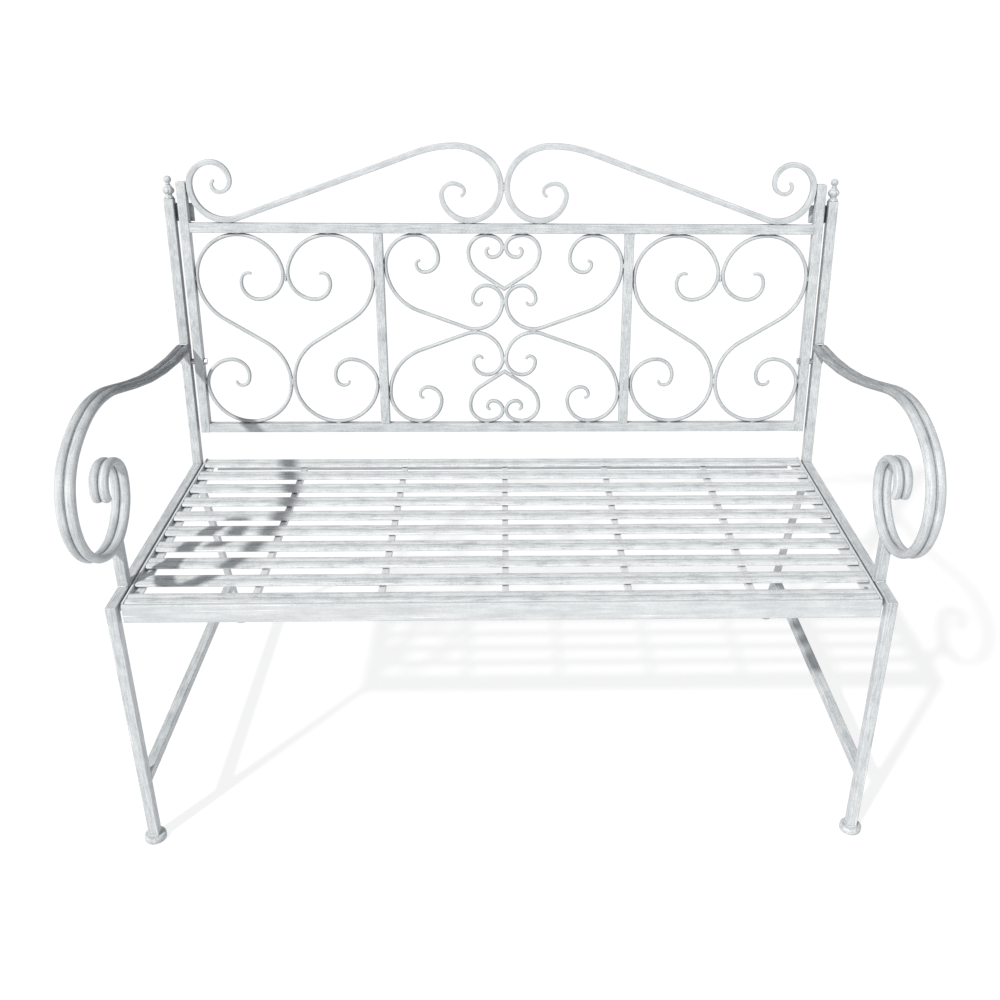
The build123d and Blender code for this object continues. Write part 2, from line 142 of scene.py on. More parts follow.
def flipped(curve, across=0.0, mirror_x=False, mirror_y=False):
    """Curve shifted across and mirrored about the panel's own axes."""
    (x, y), heading, steps = curve
    if mirror_x:
        x, heading, steps = -x, 180 - heading, [(r, -a if r else a) for r, a in steps]
    if mirror_y:
        y, heading, steps = -y, -heading, [(r, -a if r else a) for r, a in steps]
    return (x + across, y), heading, steps


# ---------------------------------------------------------------- mesh building
def finish_mesh(name, points, faces, uvs=None, shade_marks=None, smooth_angle=42.0):
    """New object from points and faces, with outward normals, a length-wise UV map and a mask of painted
    shade.
    """
    mesh = bpy.data.meshes.new(name)
    mesh.from_pydata(points, [], faces)
    if uvs:
        layer = mesh.uv_layers.new(name="along")
        for loop, uv in zip(layer.data, uvs):
            loop.uv = uv
    if shade_marks:
        mask = mesh.attributes.new("shade_mark", "FLOAT", "POINT")
        mask.data.foreach_set("value", shade_marks)
    work = bmesh.new()
    work.from_mesh(mesh)
    bmesh.ops.recalc_face_normals(work, faces=work.faces)
    work.to_mesh(mesh)
    work.free()
    mesh.shade_smooth()
    mesh.set_sharp_from_angle(angle=radians(smooth_angle))
    piece = bpy.data.objects.new(name, mesh)
    bpy.context.scene.collection.objects.link(piece)
    return piece


SHADE_DEPTH = 0.85          # shade of a bar's flanks and back
SHADE_START = 0.95          # share of the way out to a bar's front where the shade begins


def flank_shade(out, half):
    """Painted shade on a bar: none at its front, more towards its flanks and back."""
    return SHADE_DEPTH * min(1.0, max(0.0, SHADE_START - out / half))


def round_outline(radius):
    """Round bar: (in the curve's plane, out of it, painted shade) points."""
    count = 18
    turns = [2 * pi * k / count for k in range(count)]
    return [(radius * cos(turn), radius * sin(turn), flank_shade(sin(turn), 1.0)) for turn in turns]


def square_outline(size):
    """Square bar with softened corners, shaded less than a round one."""
    corner, per_corner, shade = 1.1, 4, 0.6
    points = []
    for quarter in range(4):
        centre = quarter * pi / 2 + pi / 4
        middle = (size / 2 - corner) * math.sqrt(2)
        for k in range(per_corner):
            angle = quarter * pi / 2 + k * pi / 2 / (per_corner - 1)
            out = middle * sin(centre) + corner * sin(angle)
            across = middle * cos(centre) + corner * cos(angle)
            points.append((across, out, shade * flank_shade(out, size / 2)))
    return points


def double_barrel_outline(width, thickness, rib_share):
    """Flat bar rolled to two round ribs, with painted shade marked in the hollow between them."""
    rib = width * rib_share
    offset = width / 2 - rib
    valley = pi - math.acos(offset / rib)
    count, fade_per_point = 21, 0.6
    points = []
    for k in range(count):
        angle = -valley + 2 * valley * k / (count - 1)
        shade_mark = max(0.0, 1.0 - fade_per_point * min(k, count - 1 - k))
        points.append((thickness / 2 * sin(angle), offset + rib * cos(angle), shade_mark))
    mirrored = [(-a, -b, shade_mark) for a, b, shade_mark in points]
    return points[:-1] + mirrored[:-1]


DOME_ANGLES = (75, 50, 25)  # rings of a rounded bar end, from its tip
SWAY_RATE = 0.03            # unevenness of a rolled band, per millimetre


def bar(name, place, stations, outline, tip=(0.0, 1.0), dome=0.5, sway=0.0, darkened=(0.0, 0.0, 0.0)):
    """Bar along stations.

    tip is (length that tapers, share left at the end), dome the roundness of its ends, sway how uneven its
    width is, and rubbed is (how much darker the bar is painted, until which distance, none from which
    distance).
    """
    taper, end_share = tip
    total = stations[-1][3]
    perimeter = [0.0]
    for (a, b, _), (a_next, b_next, _) in zip(outline, outline[1:] + outline[:1]):
        perimeter.append(perimeter[-1] + math.hypot(a_next - a, b_next - b))
    reach = max(abs(a) for a, _, _ in outline)

    def ring_at(station, shift, share):
        x, y, heading, distance, stretch = station
        from_tip = min(distance, total - distance)
        if taper and from_tip < taper:
            ease = from_tip / taper
            share *= end_share + (1 - end_share) * ease * (2 - ease)
        turn = radians(heading)
        x, y = x + shift * cos(turn), y + shift * sin(turn)
        wave = sway * noise.noise(Vector((x * SWAY_RATE, y * SWAY_RATE, 7.0)))
        return [place(x - sin(turn) * a * share * stretch, y + cos(turn) * a * share * stretch,
                      b * share * (1 + wave)) for a, b, _ in outline], distance + shift

    rings = []
    for angle in DOME_ANGLES:
        lift = reach * dome * end_share * sin(radians(angle))
        rings.append(ring_at(stations[0], -lift, 1 - dome * (1 - cos(radians(angle)))))
    rings += [ring_at(station, 0.0, 1.0) for station in stations]
    for angle in reversed(DOME_ANGLES):
        lift = reach * dome * end_share * sin(radians(angle))
        rings.append(ring_at(stations[-1], lift, 1 - dome * (1 - cos(radians(angle)))))

    count = len(outline)
    points = [point for ring, _ in rings for point in ring]
    depth, full_to, none_from = darkened
    # each point's mask: the outline's painted shade, or the darker stretch where that is more
    shade_marks = []
    for _, distance in rings:
        darkening = depth * min(1.0, max(0.0, (none_from - distance) / max(1.0, none_from - full_to)))
        shade_marks += [max(shade_mark, darkening) for _, _, shade_mark in outline]
    faces, uvs = [], []
    for i in range(len(rings) - 1):
        near, far = rings[i][1] * MM, rings[i + 1][1] * MM
        for j in range(count):
            k = (j + 1) % count
            faces.append((i * count + j, i * count + k, (i + 1) * count + k, (i + 1) * count + j))
            low, high = perimeter[j] * MM, perimeter[j + 1] * MM
            uvs += [(near, low), (near, high), (far, high), (far, low)]
    for first, distance in ((0, rings[0][1]), ((len(rings) - 1) * count, rings[-1][1])):
        faces.append(tuple(first + j for j in range(count)))
        uvs += [(distance * MM, perimeter[j] * MM) for j in range(count)]
    return finish_mesh(name, points, faces, uvs, shade_marks)


def lathe(name, axis, profile, lobes=0, segments=96):
    """Turned piece about an axis matrix: profile rows are (radius, height, depth of the lobes cut in it)."""
    points, faces = [], []
    for radius, height, depth in profile:
        for k in range(segments):
            angle = 2 * pi * k / segments
            wave = depth * (abs(cos(lobes * angle / 2)) - 1.0) if depth else 0.0
            reach = (radius + wave) * MM
            points.append(axis @ Vector((reach * cos(angle), reach * sin(angle), height * MM)))
    for i in range(len(profile) - 1):
        for k in range(segments):
            far = (k + 1) % segments
            faces.append((i * segments + k, i * segments + far,
                          (i + 1) * segments + far, (i + 1) * segments + k))
    faces.append(tuple(range(segments)))
    faces.append(tuple((len(profile) - 1) * segments + k for k in range(segments)))
    return finish_mesh(name, points, faces, smooth_angle=50.0)


class Beads:
    """Weld beads gathered in one piece: each is a closed, rippled, uneven lump along a line."""

    RINGS, SEGMENTS = 14, 12
    RIPPLE, RIPPLE_RATE = 0.07, 2.6     # depth as a share of the girth, and turns per millimetre
    ROUGH, ROUGH_RATE = 0.16, 900       # depth as a share of the girth, and lumps per metre
    TIP = 0.02                          # girth left at the ends

    def __init__(self):
        self.points, self.faces = [], []

    def add(self, middle, along, half_length, half_width, out=None, half_out=None):
        """Lump in the middle of a joint; along and out are world directions, sizes are in millimetres."""
        along = along.normalized()
        out = (out or Vector((0, -lean_cos, lean_sin))).normalized()
        side = along.cross(out).normalized()
        half_out = half_out or half_width
        rings, segments = self.RINGS, self.SEGMENTS
        first = len(self.points)
        for i in range(rings + 1):
            share = -1 + 2 * i / rings
            ripple = 1 + self.RIPPLE * cos(share * half_length * self.RIPPLE_RATE)
            girth = math.sqrt(max(0.0, 1 - share**4)) * ripple
            for k in range(segments):
                angle = 2 * pi * k / segments
                spot = middle * self.ROUGH_RATE + Vector((share * 3, cos(angle), sin(angle)))
                rough = 1 + self.ROUGH * noise.noise(spot)
                across = (girth * rough + self.TIP) * half_width * cos(angle)
                away = (girth * rough + self.TIP) * half_out * sin(angle)
                self.points.append(middle + (along * share * half_length + side * across + out * away) * MM)
        for i in range(rings):
            for k in range(segments):
                far = (k + 1) % segments
                near = first + i * segments
                self.faces.append((near + k, near + far, near + segments + far, near + segments + k))
        self.faces.append(tuple(first + k for k in range(segments)))
        self.faces.append(tuple(first + rings * segments + k for k in range(segments)))

    def piece(self, name):
        """One object with every bead."""
        return finish_mesh(name, self.points, self.faces, smooth_angle=70.0)


# ---------------------------------------------------------------- materials
BRIGHT = (0.86, 0.87, 0.87)         # worn edges and scratches
PALE = (0.66, 0.685, 0.695)         # full top coat
MIDDLE = (0.48, 0.505, 0.52)        # thin top coat
UNDER = (0.28, 0.305, 0.335)        # blue-grey under it
# colour of painted shade in corners, hollows and on bar flanks, also of the armrests' darker stretch
SHADE_COLOUR = (0.055, 0.062, 0.072)
BRUSH_SHARE, BLOTCH_SHARE, SPECKLE_SHARE = 0.5, 0.22, 0.28
BLOTCHES, SPECKLES = 34.0, 430.0    # per metre
EDGE_TURN = (0.985, 0.86)           # how far an edge turns before it wears, and when it is worn through
CORNER_AIR = (0.62, 0.2)            # open air round a spot where painted shade begins, and where it is full


class Nodes:
    """Small helper that adds and wires shader nodes."""

    def __init__(self, name):
        self.material = bpy.data.materials.new(name)
        self.material.use_nodes = True
        self.tree = self.material.node_tree
        self.shader = self.tree.nodes["Principled BSDF"]

    def add(self, kind, settings=None, **inputs):
        """Add a node; inputs named by their sockets may be values or other nodes' outputs."""
        node = self.tree.nodes.new(kind)
        for key, value in (settings or {}).items():
            setattr(node, key, value)
        for key, value in inputs.items():
            self.feed(node, int(key[1:]) if key[0] == "n" and key[1:].isdigit() else key, value)
        return node

    def feed(self, node, key, value):
        """Set a socket to a value or link it to an output."""
        socket = node.inputs[key]
        if isinstance(value, bpy.types.NodeSocket):
            self.tree.links.new(value, socket)
        else:
            socket.default_value = value

    def math(self, operation, first, second=0.0, clamp=False):
        """Math node of two inputs."""
        node = self.add("ShaderNodeMath", {"operation": operation, "use_clamp": clamp}, n0=first, n1=second)
        return node.outputs[0]

    def remap(self, value, low, high, to_low=0.0, to_high=1.0):
        """Map a range to another, smoothly and clamped."""
        node = self.add("ShaderNodeMapRange", {"interpolation_type": "SMOOTHSTEP"},
                        n0=value, n1=low, n2=high, n3=to_low, n4=to_high)
        return node.outputs[0]

    def noise(self, vector, scale, detail=4.0, roughness=0.6):
        """Noise texture, 0 to 1."""
        node = self.add("ShaderNodeTexNoise", None, Vector=vector, Scale=scale, Detail=detail,
                        Roughness=roughness)
        return node.outputs["Fac"]

    def mix(self, factor, first, second, blend="MIX"):
        """Blend two colours."""
        node = self.add("ShaderNodeMix", {"data_type": "RGBA", "blend_type": blend})
        self.feed(node, 0, factor)
        for index, colour in ((6, first), (7, second)):
            self.feed(node, index, colour if isinstance(colour, bpy.types.NodeSocket) else (*colour, 1.0))
        return node.outputs[2]


def weathered_paint(name, streaks, along_bar=False, cover=0.0, contrast=1.0, shade_mark=0.0,
                    edge_radius=0.0011, roughness=0.55, scratched=0.62, corner_shade=0.85):
    """Pale dry-brushed paint over blue-grey.

    streaks is the brush marks per metre on each axis, cover how much more the top coat hides, contrast how
    uneven it is, and groove how dark the painted shade in marked hollows and on bar flanks is. scratched is
    the noise level above which scratches show, and soiled how dark the painted shade in corners is.
    """
    build = Nodes(name)
    coordinates = build.add("ShaderNodeTexCoord").outputs["Object"]
    if along_bar:
        brush_space = build.add("ShaderNodeUVMap", {"uv_map": "along"}).outputs["UV"]
    else:
        brush_space = coordinates
    stretched = build.add("ShaderNodeMapping", None, Vector=brush_space, Scale=streaks).outputs["Vector"]
    brush = build.noise(stretched, 1.0, 6.0, 0.7)
    blotch = build.noise(coordinates, BLOTCHES, 4.0, 0.62)
    speckle = build.noise(coordinates, SPECKLES, 4.0, 0.72)

    mark = build.math("MULTIPLY", brush, BRUSH_SHARE)
    mark = build.math("ADD", mark, build.math("MULTIPLY", blotch, BLOTCH_SHARE))
    mark = build.math("ADD", mark, build.math("MULTIPLY", speckle, SPECKLE_SHARE))
    uneven = build.math("MULTIPLY", build.math("SUBTRACT", mark, 0.5), contrast)
    mark = build.math("ADD", uneven, 0.5 + cover)
    colour = build.mix(build.remap(mark, 0.36, 0.5), UNDER, MIDDLE)
    colour = build.mix(build.remap(mark, 0.47, 0.62), colour, PALE)

    scratch_scale = [rate * (1.7 if rate > 100 else 0.5) for rate in streaks]
    scratches = build.add("ShaderNodeMapping", None, Vector=brush_space, Scale=scratch_scale,
                          Location=(3.1, 7.7, 1.3)).outputs["Vector"]
    scratch = build.noise(scratches, 1.0, 3.0, 0.6)
    scratch = build.remap(scratch, scratched, scratched + 0.08, 0.0, 0.75)
    colour = build.mix(scratch, colour, BRIGHT)

    rounded = build.add("ShaderNodeBevel", {"samples": 4}, Radius=edge_radius).outputs["Normal"]
    facing = build.add("ShaderNodeVectorMath", {"operation": "DOT_PRODUCT"})
    build.feed(facing, 0, rounded)
    build.feed(facing, 1, build.add("ShaderNodeNewGeometry").outputs["Normal"])
    worn = build.remap(facing.outputs["Value"], *EDGE_TURN)
    worn = build.math("MULTIPLY", worn, build.remap(speckle, 0.38, 0.6, 0.15, 0.9))
    colour = build.mix(worn, colour, BRIGHT)

    # painted shade: darker in corners, crevices and close gaps, from ambient occlusion
    open_air = build.add("ShaderNodeAmbientOcclusion", {"samples": 4}, Distance=0.011).outputs["AO"]
    shade_amount = build.remap(open_air, *CORNER_AIR, 0.0, corner_shade)
    # painted shade in hollows and on bar flanks from the mesh's mask, which on the armrests also holds their
    # darker stretch
    if shade_mark:
        mask = build.add("ShaderNodeAttribute", {"attribute_name": "shade_mark"}).outputs["Fac"]
        mask = build.math("MULTIPLY", mask, build.remap(speckle, 0.3, 0.7, shade_mark, shade_mark * 0.7))
        mask = build.math("MULTIPLY", mask, build.remap(brush, 0.42, 0.64, 1.0, 0.5))
        shade_amount = build.math("MAXIMUM", shade_amount, mask)
    colour = build.mix(shade_amount, colour, SHADE_COLOUR)

    height = build.math("ADD", build.math("MULTIPLY", brush, 0.65), build.math("MULTIPLY", speckle, 0.35))
    bump = build.add("ShaderNodeBump", None, Strength=0.5, Distance=0.0006, Height=height, Normal=rounded)
    build.feed(build.shader, "Base Color", colour)
    build.feed(build.shader, "Roughness", build.remap(mark, 0.35, 0.62, roughness - 0.12, roughness + 0.12))
    build.feed(build.shader, "Normal", bump.outputs["Normal"])
    return build.material


def zinc_metal():
    """Dull zinc-plated steel of the bolts, nuts and spacers, with pale bloom."""
    build = Nodes("zinc_plate")
    coordinates = build.add("ShaderNodeTexCoord").outputs["Object"]
    spangle = build.noise(coordinates, 420.0, 3.0, 0.6)
    bloom = build.noise(coordinates, 130.0, 4.0, 0.65)
    colour = build.mix(build.remap(spangle, 0.35, 0.65), (0.36, 0.38, 0.41), (0.56, 0.58, 0.6))
    colour = build.mix(build.remap(bloom, 0.55, 0.75, 0.0, 0.7), colour, (0.72, 0.73, 0.73))
    bump = build.add("ShaderNodeBump", None, Strength=0.3, Distance=0.0003, Height=spangle)
    build.feed(build.shader, "Base Color", colour)
    build.feed(build.shader, "Metallic", build.remap(bloom, 0.5, 0.7, 0.85, 0.35))
    build.feed(build.shader, "Roughness", build.remap(spangle, 0.3, 0.7, 0.32, 0.5))
    build.feed(build.shader, "Normal", bump.outputs["Normal"])
    return build.material


FLOOR_GLOW = 0.8


def floor_finish():
    """Plain pale studio floor, which glows so that its shadows stay faint."""
    build = Nodes("studio_floor")
    coordinates = build.add("ShaderNodeTexCoord").outputs["Object"]
    tone = build.noise(coordinates, 1.3, 2.0, 0.5)
    build.feed(build.shader, "Base Color", build.mix(tone, (0.22, 0.22, 0.22), (0.24, 0.24, 0.24)))
    build.feed(build.shader, "Roughness", 0.85)
    build.feed(build.shader, "Specular IOR Level", 0.0)
    build.feed(build.shader, "Emission Color", (1.0, 1.0, 1.0, 1.0))
    build.feed(build.shader, "Emission Strength", FLOOR_GLOW)
    return build.material


FINE, COARSE = 620.0, 24.0  # brush marks per metre, across and along the stroke
paint_x = weathered_paint("paint_brushed_across", (COARSE, FINE, FINE), contrast=0.9)
paint_y = weathered_paint("paint_brushed_deep", (FINE, COARSE, FINE))
paint_z = weathered_paint("paint_brushed_upright", (FINE, FINE, COARSE), contrast=0.9)
paint_apron = weathered_paint("paint_brushed_apron", (11.0, 240.0, 150.0), cover=0.03, contrast=0.5,
                              edge_radius=0.0024)
paint_cast = weathered_paint("paint_on_casting", (240.0, 240.0, 240.0))
paint_weld = weathered_paint("paint_on_welds", (330.0, 330.0, 330.0), cover=0.04, roughness=0.5)
paint_rod = weathered_paint("paint_on_rod", (30.0, 520.0, 1.0), along_bar=True, contrast=0.7,
                            shade_mark=0.8)
paint_slat = weathered_paint("paint_on_slats", (COARSE, FINE, 1.0), along_bar=True, cover=0.06,
                             contrast=1.7, shade_mark=0.3, scratched=0.56, corner_shade=0.6)
paint_band = weathered_paint("paint_on_arms", (COARSE, FINE, 1.0), along_bar=True, contrast=0.9,
                             shade_mark=1.0)
# paler paint with less painted corner shade for the bearers, angles and lugs: painted light offsetting the
# slats' shadow on them
paint_lit_bearer = weathered_paint("paint_on_bearers_lit", (FINE, COARSE, FINE), cover=0.12, corner_shade=0.3)
zinc = zinc_metal()

for node, material in (
        ("rear_post", paint_z), ("seat_rail", paint_y), ("front_leg", paint_z), ("rear_leg", paint_z),
        ("side_stretcher", paint_y), ("arm_support", paint_z), ("front_foot", paint_cast),
        ("rear_foot", paint_cast), ("stile", paint_z), ("mullion", paint_z), ("seat_angle", paint_lit_bearer)):
    for side in ("left", "right"):
        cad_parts[f"{side}_{node}"].data.materials.clear()
        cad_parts[f"{side}_{node}"].data.materials.append(material)
for node, material in (
        ("back_top_rail", paint_x), ("back_bottom_rail", paint_x), ("front_apron", paint_apron),
        ("seat_rear_bar", paint_x), ("seat_bearers", paint_lit_bearer), ("seat_lugs", paint_lit_bearer),
        ("back_straps", paint_x), ("panel_spacers", zinc), ("seat_bolts", zinc), ("strap_bolts", zinc),
        ("side_bolts", zinc), ("side_nuts", zinc)):
    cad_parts[node].data.materials.clear()
    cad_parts[node].data.materials.append(material)


def keep(piece, material, slot, *nodes):
    """Give a piece its finish and its place on the body, and hide the CAD nodes that it stands for."""
    piece.data.materials.append(material)
    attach(piece, "root")
    if nodes:
        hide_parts(*nodes)
    return piece


def mirrored(place):
    """The same place function on the other side of the bench."""
    def other(*arguments):
        point = place(*arguments)
        return Vector((-point.x, point.y, point.z))
    return other


# ---------------------------------------------------------------- seat slats and armrests
slat_pitch = (APRON_FACE - APRON_THICK - GAP - SLAT_WIDTH - SEAT_REAR) / (SLAT_COUNT - 1)
for number in range(SLAT_COUNT):
    middle = SEAT_REAR + number * slat_pitch + SLAT_WIDTH / 2

    def slat_place(along, up, across, middle=middle):
        """World place on a slat, drawn along it."""
        return Vector((along, post_y - middle + across, SEAT_HEIGHT - SLAT_THICK / 2 + up)) * MM

    stations = trace(((-SLAT_HALF, 0.0), 0.0, [(0, 2 * SLAT_HALF)]))
    slat = bar(f"slat_{number + 1}_rolled", slat_place, stations,
               double_barrel_outline(SLAT_WIDTH, SLAT_THICK, SLAT_RIB), dome=0.15)
    shift_along, shift_round = number * 3.7, number * 0.31      # no two slats share their brush marks
    for loop in slat.data.uv_layers["along"].data:
        loop.uv = (loop.uv[0] + shift_along, loop.uv[1] + shift_round)
    keep(slat, paint_slat, "slat_paint", f"slat_{number + 1}")

DARK_FULL_TO, DARK_NONE_FROM = 360.0, 500.0    # along the armrest from the post: painted fully darker until the first, no darker from the second
arm_stations = trace((ARM_START, 0.0, ARM_STEPS))
for side, place, darkening in (("left", left_side, 0.95), ("right", mirrored(left_side), 0.6)):
    arm = bar(f"{side}_armrest_band", place, arm_stations,
              double_barrel_outline(ARM_WIDTH, ARM_THICK, ARM_RIB), dome=0.3, sway=0.02,
              darkened=(darkening, DARK_FULL_TO, DARK_NONE_FROM))
    keep(arm, paint_band, "frame_paint", f"{side}_armrest")

# ---------------------------------------------------------------- scrolls of the back panel
bay_middle = (STILE_INNER + MULLION_OUTER) / 2
bay_half = (STILE_INNER - MULLION_OUTER) / 2
s_ring = (bay_half - 2 * rod_clear) / 2
s_touch = OPENING_TOP - rod_clear - s_ring
ROD_TIP = (55.0, 0.72)


def s_scroll():
    """S between the bay's middle line and one side, from its lower curl to its upper one."""
    inner, outer, shoulder = rod_clear, bay_half - rod_clear, 85.0
    start, heading, length = tangent_line((inner + shoulder, -s_touch), shoulder, -1,
                                          (outer - shoulder, s_touch), shoulder, 1)
    lower = [(shoulder, 90 - heading), (s_ring, 170), (46, 100), (29, 112), (13, 95), (7, 60)]
    upper = [(shoulder, 90 - heading), (s_ring, 165), (45, 105), (28, 112), (12, 90)]
    return joined(start, heading, length, lower, upper)


C_SHOULDER_UP = 115.5
C_SMALL = 49.0


def c_scroll():
    """Upper left C of the middle opening, from its outer curl to its inner one."""
    sweep_in = 85.0
    outer_ring = OPENING_TOP - rod_clear - C_SHOULDER_UP
    start, heading, length = tangent_line((-MULLION_INNER + rod_clear + sweep_in, C_SHOULDER_UP), sweep_in, 1,
                                          (-rod_clear - C_SMALL, rod_clear + C_SMALL), C_SMALL, 1)
    outer = [(sweep_in, -(90 + heading)), (outer_ring, -90), (39.5, -90), (24.5, -90), (14, -90), (6, -90)]
    inner = [(C_SMALL, 90 - heading), (28.5, 90), (24, 90), (10.5, 90), (5.5, 80)]
    return joined(start, heading, length, outer, inner)


def heart_stations(down):
    """Both halves of a heart, mitred at its point."""
    lobe = (-32.0, OPENING_TOP - rod_clear)
    x, y, heading, _, _ = trace((lobe, 180, [(30, 90), (42, 57)]))[-1]
    run = -x / cos(radians(heading))
    tip_x, tip_y, angle, _, _ = trace((lobe, 0, [(40, -30), (17.5, -150), (10.5, -90), (5.5, -80)]))[-1]
    steps = [(5.5, 80), (10.5, 90), (17.5, 150), (40, 30), (30, 90), (42, 57), (0, run)]
    left = trace(flipped(((tip_x, tip_y), angle + 180, steps), mirror_y=down))
    x, y, heading, half, _ = left[-1]
    point = (0.0, y, 0.0, half, 1 / cos(radians(heading % 360)))
    right = [(-x, y, -heading, 2 * half - distance, 1.0)
             for x, y, heading, distance, _ in reversed(left[:-1])]
    left = [(x, y, heading % 360, distance, 1.0) for x, y, heading, distance, _ in left[:-1]]
    return left + [point] + right


for side, sign in (("left", -1), ("right", 1)):
    for name, outward in (("outer", sign), ("inner", -sign)):
        curve = flipped(s_scroll(), across=sign * bay_middle, mirror_x=outward < 0)
        rod = bar(f"{side}_{name}_s_rod", panel, trace(curve), round_outline(ROD / 2 + PAINT_COAT), ROD_TIP)
        keep(rod, paint_rod, "scroll_paint", f"{side}_{name}_s_scroll")
    for level, down in (("upper", False), ("lower", True)):
        curve = flipped(c_scroll(), mirror_x=sign > 0, mirror_y=down)
        rod = bar(f"{side}_{level}_c_rod", panel, trace(curve), round_outline(ROD / 2 + PAINT_COAT), ROD_TIP)
        keep(rod, paint_rod, "scroll_paint", f"{side}_{level}_c_scroll")
HEART_TIP = (30.0, 0.75)
for level, down in (("upper", False), ("lower", True)):
    rod = bar(f"{level}_heart_rod", panel, heart_stations(down), round_outline(ROD / 2 + PAINT_COAT),
              HEART_TIP)
    keep(rod, paint_rod, "scroll_paint", f"{level}_heart")

END_RING = 57.0
crest_touch = OPENING_TOP + TUBE + CREST_BAR / 2 + GAP
crest_end = (-STILE_INNER + CREST_BAR / 2 + GAP + END_RING, crest_touch + END_RING)
CREST_TOP = (-82.0, 315.4)
_, high_y, _, _, _ = trace((CREST_TOP, 0.0, [(85, -40), (62, -50)]))[-1]


def crest():
    """Left half of the crest: a low spiral on the rail, a long rise and a high scroll at the middle."""
    rise = 200.0
    rise_centre = (CREST_TOP[0], CREST_TOP[1] - rise)
    start, heading, length = tangent_line(crest_end, END_RING, 1, rise_centre, rise, -1)
    end = [(END_RING, -(90 + heading)), (38, -90), (30, -90), (19, -90), (12, -90), (7.5, -60)]
    middle = [(rise, -heading), (85, -40), (62, -50), (high_y - crest_touch, -90), (46, -82), (19.5, -98),
              (26, -40), (8.5, -120)]
    return joined(start, heading, length, end, middle)


CREST_TIP = (210.0, 0.52)
crest_stations = trace(crest())
for side, place in (("left", panel), ("right", mirrored(panel))):
    strip = bar(f"{side}_crest_bar", place, crest_stations, square_outline(CREST_BAR), CREST_TIP)
    keep(strip, paint_rod, "scroll_paint", f"{side}_crest_scroll")

# ---------------------------------------------------------------- finials
FINIAL_COLLAR, FINIAL_ONION, FINIAL_BALL, BALL_UP = 8.2, 10.0, 6.4, 31.2
profile = [(7.6, 0.0, 0.0), (FINIAL_COLLAR, 0.5, 0.4), (FINIAL_COLLAR, 2.2, 0.9), (7.6, 3.6, 0.9),
           (6.4, 4.4, 0.5), (5.4, 4.9, 0.0), (5.2, 5.8, 0.0), (5.8, 6.6, 0.5)]
ONION_ROWS, ONION_NECK, ONION_FOOT, ONION_HEIGHT, LOBE_DEPTH = 15, 4.0, 6.6, 15.8, 1.5
for k in range(1, ONION_ROWS):
    share = k / ONION_ROWS
    bulge = sin(pi * share**0.82)       # widest a little below the middle
    profile.append((ONION_NECK + (FINIAL_ONION - ONION_NECK) * bulge, ONION_FOOT + ONION_HEIGHT * share,
                    LOBE_DEPTH * bulge))
profile += [(3.9, 22.6, 0.3), (4.6, 23.3, 0.0), (4.7, 24.0, 0.0), (3.7, 24.6, 0.0), (3.3, 25.2, 0.0)]
BALL_ROWS = 12
for k in range(BALL_ROWS + 1):
    angle = radians(-58 + 146 * k / BALL_ROWS)
    profile.append((FINIAL_BALL * cos(angle), BALL_UP + FINIAL_BALL * sin(angle), 0.0))
finial_x = (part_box("left_rear_post")[0].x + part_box("left_rear_post")[1].x) / 2
climb = POST_LENGTH - PANEL_MID
for side, sign in (("left", 1), ("right", -1)):
    base = panel(sign * finial_x / MM, climb)
    axis = Matrix.Translation(base) @ Matrix.Rotation(-RECLINE, 4, "X")
    finial = lathe(f"{side}_finial_cast", axis, profile, lobes=8)
    keep(finial, paint_cast, "frame_paint", f"{side}_finial")

# ---------------------------------------------------------------- welds
AXIS_X, AXIS_Y, AXIS_Z = Vector((1, 0, 0)), Vector((0, 1, 0)), Vector((0, 0, 1))
UP_PANEL = Vector((0, lean_sin, lean_cos))
OUT_PANEL = Vector((0, -lean_cos, lean_sin))
scroll_welds = Beads()


def scroll_weld(across, up, upright, length=5.0, width=1.9, depth=3.3):
    """Weld where two bars touch, on both sides of the bench."""
    for sign in (-1, 1) if across else (1,):
        direction = UP_PANEL if upright else AXIS_X
        scroll_welds.add(panel(sign * across, up), direction, length, width, OUT_PANEL, depth)


s_near = rod_clear + s_ring
for level in (-1, 1):
    scroll_weld(bay_middle - s_near, level * OPENING_TOP, False)
    scroll_weld(bay_middle + s_near, level * OPENING_TOP, False)
    scroll_weld(bay_middle, level * s_touch, True, 6.5)
    scroll_weld(STILE_INNER, level * s_touch, True)
    scroll_weld(MULLION_OUTER, level * s_touch, True)
    scroll_weld(MULLION_INNER, level * C_SHOULDER_UP, True)
    scroll_weld(154.0, level * OPENING_TOP, False)
    scroll_weld(32.0, level * OPENING_TOP, False)
    scroll_weld(0.0, level * 147.0, True, 4.5)
    scroll_weld(0.0, level * (rod_clear + C_SMALL), True, 6.0)
    scroll_weld(12.5, level * 80.0, False, 3.5, 2.2)
scroll_weld(rod_clear + C_SMALL, 0.0, False, 6.5)
scroll_weld(crest_end[0], OPENING_TOP + TUBE, False, 6.0, 1.8, 4.4)
scroll_weld(62.0, OPENING_TOP + TUBE, False, 6.0, 1.8, 4.0)
scroll_weld(STILE_INNER, crest_end[1], True, 5.5, 1.8, 4.4)
scroll_weld(0.0, high_y, True, 6.5, 2.0, 5.0)
keep(scroll_welds.piece("scroll_welds"), paint_weld, "scroll_paint")

frame_welds = Beads()


def side_weld(forward, up, along, half_length, half_width=1.7, across=0.0, middle=SIDE_X):
    """Weld of a side frame, on both sides of the bench."""
    for sign in (-1, 1):
        place = Vector((sign * (middle + across), post_y - forward, SEAT_HEIGHT + up)) * MM
        out = AXIS_X.cross(along) if along != AXIS_X else AXIS_Z
        frame_welds.add(place, along, half_length, half_width, out)


